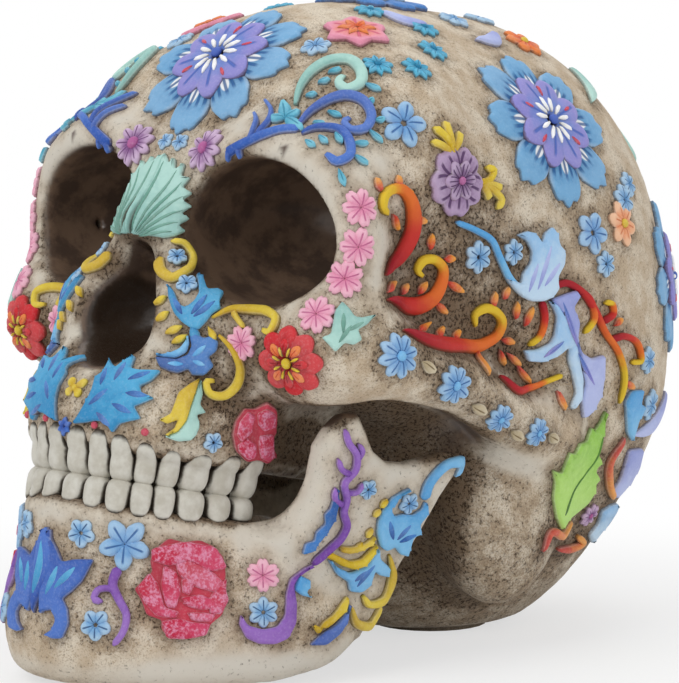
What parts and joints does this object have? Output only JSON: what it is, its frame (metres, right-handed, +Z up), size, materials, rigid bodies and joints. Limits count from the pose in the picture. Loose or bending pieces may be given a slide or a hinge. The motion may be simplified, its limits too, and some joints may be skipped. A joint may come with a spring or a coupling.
{
  "type": "decorative skull",
  "caption": "Free-standing skull ornament with open eye sockets and a fixed jaw, set all over with raised painted flowers, leaves and scrolls.",
  "frame": {"origin": "on the ground, under the middle of the whole skull's box", "axes": "+Z up, the face looks along -Y, +X is the skull's own left side"},
  "size_m": [0.129, 0.1874, 0.1555],
  "materials": {
    "bone": "sand-coloured cast resin with a dark antique wash",
    "ivory": "ivory paint with brown lines",
    "felt": "dark felt",
    "sky_blue": "sky blue and white paint, satin",
    "violet": "violet blue paint, satin",
    "royal_blue": "royal blue paint, satin",
    "mint": "pale mint paint, satin",
    "pink": "pink paint with an orange centre, satin",
    "purple": "purple and lilac paint, satin",
    "red": "red paint, satin",
    "rose": "red and pink paint, satin",
    "flame": "crimson to orange and yellow paint, satin",
    "lime": "lime green paint, satin",
    "teal": "teal blue paint, satin",
    "iris": "iris purple paint, satin"
  },
  "bodies": {
    "root": {"skull_casting": "bone", "jaw_casting": "bone", "upper_teeth": "ivory", "lower_teeth": "ivory", "skull_felt": "felt", "jaw_felt_left": "felt", "jaw_felt_right": "felt", "forehead_flower": "sky_blue", "forehead_flower_heart": "violet", "parietal_flower_left": "sky_blue", "parietal_flower_right": "sky_blue", "parietal_flower_heart_left": "violet", "parietal_flower_heart_right": "violet", "occipital_flower_left": "sky_blue", "occipital_flower_right": "sky_blue", "occipital_flower_heart_left": "violet", "occipital_flower_heart_right": "violet", "crown_flower_left": "pink", "crown_flower_right": "pink", "temple_flower_left": "purple", "temple_flower_right": "purple", "cheek_flower_left": "red", "cheek_flower_right": "red", "arch_daisy_front_left": "sky_blue", "arch_daisy_front_right": "sky_blue", "arch_daisy_middle_left": "sky_blue", "arch_daisy_middle_right": "sky_blue", "jaw_rose_left": "rose", "jaw_rose_right": "rose", "jaw_flower_left": "sky_blue", "jaw_flower_right": "sky_blue", "nose_leaf": "mint", "chin_lily": "royal_blue", "nape_leaf_left": "lime", "nape_leaf_right": "lime", "moustache_leaf_left": "teal", "moustache_leaf_right": "teal", "side_tulip_left": "sky_blue", "side_tulip_right": "sky_blue", "side_lily_left": "violet", "side_lily_right": "violet", "jaw_spray_left": "sky_blue", "jaw_spray_right": "sky_blue", "flame_upper_left": "flame", "flame_upper_right": "flame", "flame_middle_left": "flame", "flame_middle_right": "flame", "flame_lower_left": "flame", "flame_lower_right": "flame", "brow_scroll_upper_left": "royal_blue", "brow_scroll_upper_right": "royal_blue", "brow_scroll_lower_left": "royal_blue", "brow_scroll_lower_right": "royal_blue", "mint_scroll_left": "mint", "mint_scroll_right": "mint", "jaw_branch_left": "iris", "jaw_branch_right": "iris", "jaw_hook_left": "iris", "jaw_hook_right": "iris"}
  },
  "joints": []
}
